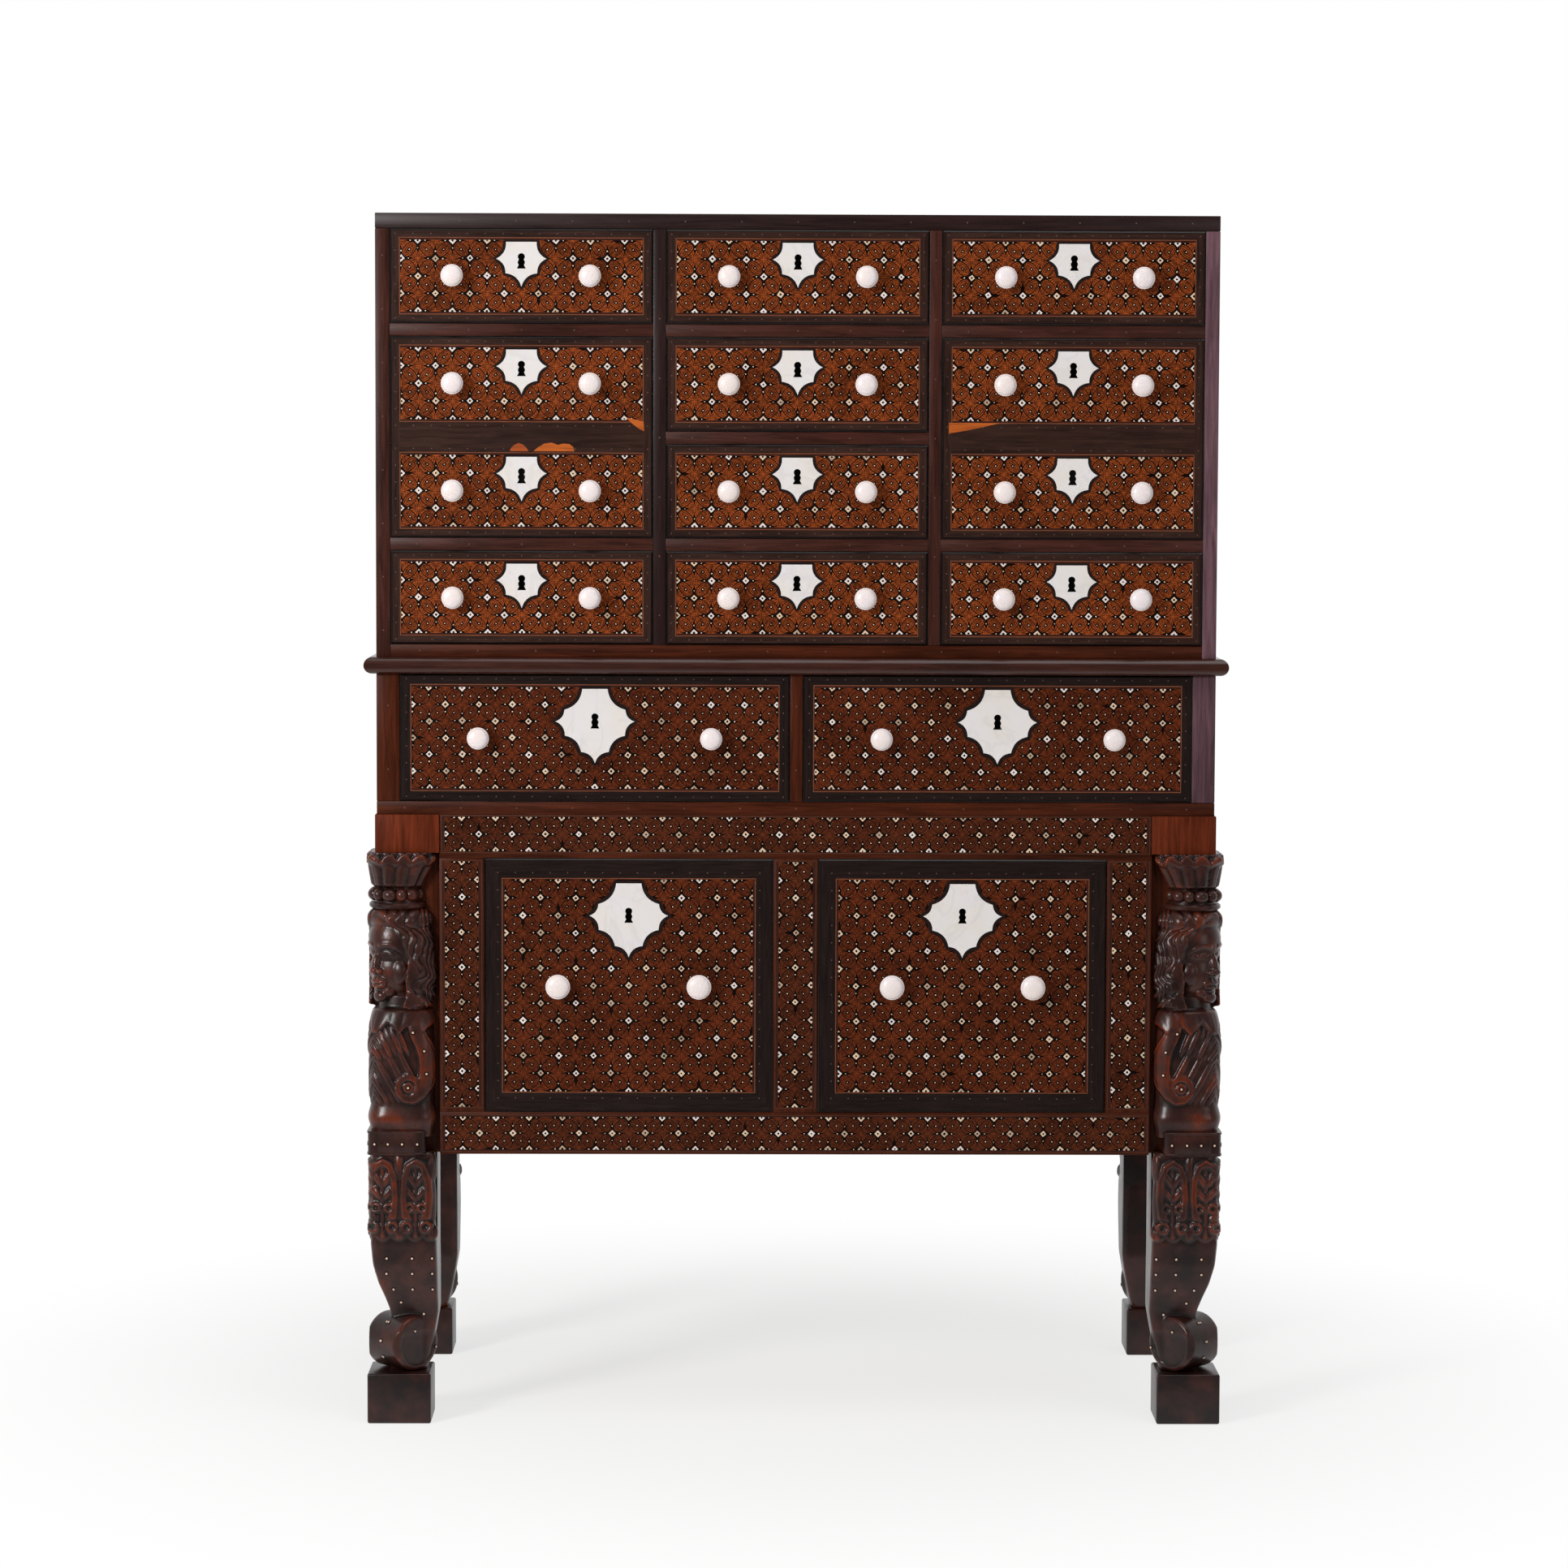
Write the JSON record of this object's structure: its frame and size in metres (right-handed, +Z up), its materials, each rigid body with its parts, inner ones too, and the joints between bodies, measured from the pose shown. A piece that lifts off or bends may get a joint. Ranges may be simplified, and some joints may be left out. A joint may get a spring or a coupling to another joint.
{
  "type": "inlaid chest of drawers on stand",
  "caption": "Chest of drawers with geometric bone and ebony inlay, on a stand with carved figure legs; every drawer slides out to the front.",
  "frame": {"origin": "on the floor, under the middle of the whole piece's box, knobs included", "axes": "+X to the right seen from the front, -Y out of the drawer fronts, +Z up"},
  "size_m": [0.9666, 0.4675, 1.36],
  "materials": {
    "rosewood_board": "waxed rosewood",
    "rosewood_strip": "waxed rosewood, pinned",
    "ebony_moulding": "polished ebony",
    "teak_board": "planed teak",
    "teak_back": "plain teak, dull",
    "inlaid_side": "waxed rosewood inlaid with ebony and bone",
    "inlaid_front": "waxed rosewood inlaid with ebony and bone",
    "inlaid_frame": "waxed rosewood inlaid with ebony and bone",
    "carved_leg": "carved and waxed hardwood",
    "drawer_teak": "planed teak, dull",
    "bone_and_iron": "polished bone; the lock behind it is dark iron"
  },
  "bodies": {
    "case": {"chest_top": "rosewood_board", "chest_boards": "teak_board", "chest_side_left": "inlaid_side", "chest_side_right": "inlaid_side", "chest_back": "teak_back", "chest_dividers": "teak_board", "chest_facings": "rosewood_strip", "waist_moulding": "ebony_moulding", "stand_boards": "teak_board", "stand_sides": "inlaid_side", "stand_back": "teak_back", "stand_guides": "teak_board", "stand_facings": "rosewood_strip", "stand_front_frame": "inlaid_frame", "leg_front_left": "carved_leg", "leg_front_right": "carved_leg", "leg_back_left": "carved_leg", "leg_back_right": "carved_leg"},
    "left_top_drawer": {"left_top_front": "inlaid_front", "left_top_box": "drawer_teak", "left_top_fittings": "bone_and_iron"},
    "left_middle_drawer": {"left_middle_front": "inlaid_front", "left_middle_box": "drawer_teak", "left_middle_fittings": "bone_and_iron"},
    "left_bottom_drawer": {"left_bottom_front": "inlaid_front", "left_bottom_box": "drawer_teak", "left_bottom_fittings": "bone_and_iron"},
    "centre_top_drawer": {"centre_top_front": "inlaid_front", "centre_top_box": "drawer_teak", "centre_top_fittings": "bone_and_iron"},
    "centre_upper_drawer": {"centre_upper_front": "inlaid_front", "centre_upper_box": "drawer_teak", "centre_upper_fittings": "bone_and_iron"},
    "centre_lower_drawer": {"centre_lower_front": "inlaid_front", "centre_lower_box": "drawer_teak", "centre_lower_fittings": "bone_and_iron"},
    "centre_bottom_drawer": {"centre_bottom_front": "inlaid_front", "centre_bottom_box": "drawer_teak", "centre_bottom_fittings": "bone_and_iron"},
    "right_top_drawer": {"right_top_front": "inlaid_front", "right_top_box": "drawer_teak", "right_top_fittings": "bone_and_iron"},
    "right_middle_drawer": {"right_middle_front": "inlaid_front", "right_middle_box": "drawer_teak", "right_middle_fittings": "bone_and_iron"},
    "right_bottom_drawer": {"right_bottom_front": "inlaid_front", "right_bottom_box": "drawer_teak", "right_bottom_fittings": "bone_and_iron"},
    "wide_left_drawer": {"wide_left_front": "inlaid_front", "wide_left_box": "drawer_teak", "wide_left_fittings": "bone_and_iron"},
    "wide_right_drawer": {"wide_right_front": "inlaid_front", "wide_right_box": "drawer_teak", "wide_right_fittings": "bone_and_iron"},
    "deep_left_drawer": {"deep_left_front": "inlaid_front", "deep_left_box": "drawer_teak", "deep_left_fittings": "bone_and_iron"},
    "deep_right_drawer": {"deep_right_front": "inlaid_front", "deep_right_box": "drawer_teak", "deep_right_fittings": "bone_and_iron"}
  },
  "joints": [
    {"name": "left_top_slide", "type": "slide", "parent": "case", "child": "left_top_drawer", "axis": [0, -1, 0], "range_m": [0, 0.3]},
    {"name": "left_middle_slide", "type": "slide", "parent": "case", "child": "left_middle_drawer", "axis": [0, -1, 0], "range_m": [0, 0.3]},
    {"name": "left_bottom_slide", "type": "slide", "parent": "case", "child": "left_bottom_drawer", "axis": [0, -1, 0], "range_m": [0, 0.3]},
    {"name": "centre_top_slide", "type": "slide", "parent": "case", "child": "centre_top_drawer", "axis": [0, -1, 0], "range_m": [0, 0.3]},
    {"name": "centre_upper_slide", "type": "slide", "parent": "case", "child": "centre_upper_drawer", "axis": [0, -1, 0], "range_m": [0, 0.3]},
    {"name": "centre_lower_slide", "type": "slide", "parent": "case", "child": "centre_lower_drawer", "axis": [0, -1, 0], "range_m": [0, 0.3]},
    {"name": "centre_bottom_slide", "type": "slide", "parent": "case", "child": "centre_bottom_drawer", "axis": [0, -1, 0], "range_m": [0, 0.3]},
    {"name": "right_top_slide", "type": "slide", "parent": "case", "child": "right_top_drawer", "axis": [0, -1, 0], "range_m": [0, 0.3]},
    {"name": "right_middle_slide", "type": "slide", "parent": "case", "child": "right_middle_drawer", "axis": [0, -1, 0], "range_m": [0, 0.3]},
    {"name": "right_bottom_slide", "type": "slide", "parent": "case", "child": "right_bottom_drawer", "axis": [0, -1, 0], "range_m": [0, 0.3]},
    {"name": "wide_left_slide", "type": "slide", "parent": "case", "child": "wide_left_drawer", "axis": [0, -1, 0], "range_m": [0, 0.3]},
    {"name": "wide_right_slide", "type": "slide", "parent": "case", "child": "wide_right_drawer", "axis": [0, -1, 0], "range_m": [0, 0.3]},
    {"name": "deep_left_slide", "type": "slide", "parent": "case", "child": "deep_left_drawer", "axis": [0, -1, 0], "range_m": [0, 0.3]},
    {"name": "deep_right_slide", "type": "slide", "parent": "case", "child": "deep_right_drawer", "axis": [0, -1, 0], "range_m": [0, 0.3]}
  ]
}
